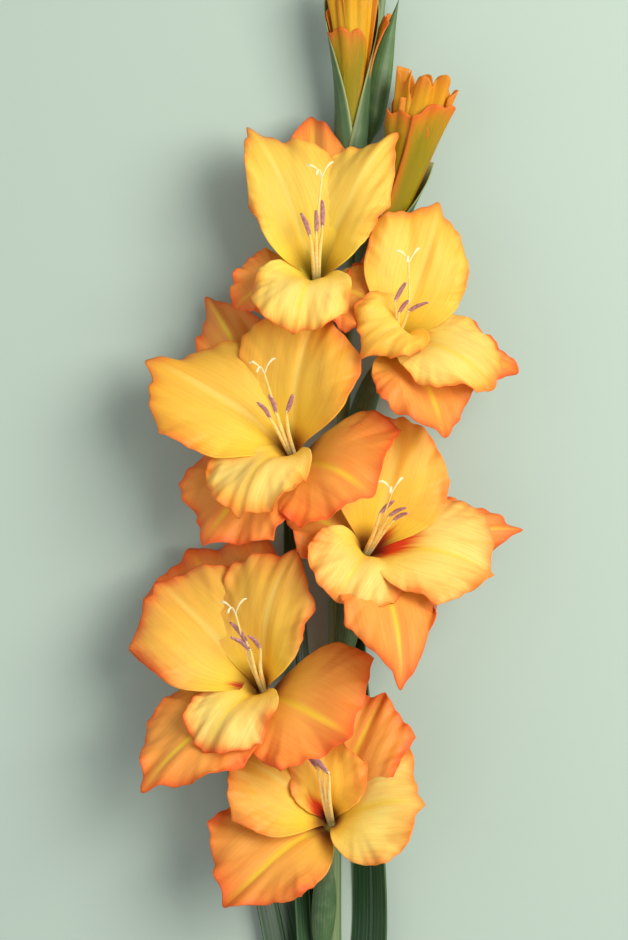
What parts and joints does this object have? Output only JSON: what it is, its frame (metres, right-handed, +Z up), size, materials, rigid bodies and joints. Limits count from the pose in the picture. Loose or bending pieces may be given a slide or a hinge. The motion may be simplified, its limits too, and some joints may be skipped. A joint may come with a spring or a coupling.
{
  "type": "cut gladiolus spike",
  "caption": "Cut gladiolus spike lying on its back: open orange and yellow trumpet flowers, buds towards the tip, sword leaves and a cut stem.",
  "frame": {"origin": "middle of the space the lying spike fills, on the surface it lies on", "axes": "+Y along the stem from the cut end to the tip, +X to the right seen from above, +Z up, the way the flowers face"},
  "size_m": [0.1961, 0.7801, 0.0888],
  "materials": {
    "inner_tepal": "satin petal, yellow heart to orange edge",
    "outer_tepal": "satin petal, salmon orange with a yellow midrib",
    "tube_and_stamens": "satin, yellow green tube, mauve anthers",
    "opening_bud": "satin, olive yellow to orange",
    "closed_bud": "satin green",
    "spathe": "satin green with a pale dry edge",
    "leaf": "satin, ribbed blue green",
    "stem": "satin green"
  },
  "bodies": {
    "root": {"stem": "stem", "flower_1_tube": "tube_and_stamens", "flower_2_tube": "tube_and_stamens", "flower_3_tube": "tube_and_stamens", "flower_4_tube": "tube_and_stamens", "flower_5_tube": "tube_and_stamens", "flower_6_tube": "tube_and_stamens", "flower_1_inner_lip": "inner_tepal", "flower_1_inner_left": "inner_tepal", "flower_1_inner_right": "inner_tepal", "flower_1_outer_right": "outer_tepal", "flower_1_outer_left": "outer_tepal", "flower_1_outer_top": "outer_tepal", "flower_2_inner_left": "inner_tepal", "flower_2_inner_right": "inner_tepal", "flower_2_inner_top": "inner_tepal", "flower_2_outer_bottom": "outer_tepal", "flower_2_outer_right": "outer_tepal", "flower_2_outer_top": "outer_tepal", "flower_3_inner_lip": "inner_tepal", "flower_3_inner_right": "inner_tepal", "flower_3_inner_left": "inner_tepal", "flower_3_outer_right": "outer_tepal", "flower_3_outer_left": "outer_tepal", "flower_3_outer_top": "outer_tepal", "flower_4_inner_left": "inner_tepal", "flower_4_inner_right": "inner_tepal", "flower_4_inner_top": "inner_tepal", "flower_4_outer_bottom": "outer_tepal", "flower_4_outer_right": "outer_tepal", "flower_4_outer_left": "outer_tepal", "flower_5_inner_lip": "inner_tepal", "flower_5_inner_right": "inner_tepal", "flower_5_inner_left": "inner_tepal", "flower_5_outer_right": "outer_tepal", "flower_5_outer_left": "outer_tepal", "flower_5_outer_top": "outer_tepal", "flower_6_inner_right": "inner_tepal", "flower_6_inner_left": "inner_tepal", "flower_6_inner_top": "inner_tepal", "flower_6_outer_left": "outer_tepal", "flower_6_outer_right": "outer_tepal", "flower_6_outer_top": "outer_tepal", "bud_7": "opening_bud", "bud_8": "opening_bud", "bud_9": "closed_bud", "bud_10": "closed_bud", "bud_11": "closed_bud", "spike_tip": "closed_bud", "leaf_left_outer": "leaf", "leaf_left_inner": "leaf", "leaf_right": "leaf", "flower_1_spathe": "spathe", "flower_2_spathe": "spathe", "flower_3_spathe": "spathe", "flower_4_spathe": "spathe", "flower_5_spathe": "spathe", "flower_6_spathe": "spathe", "bud_7_spathe": "spathe", "bud_8_spathe": "spathe"}
  },
  "joints": []
}
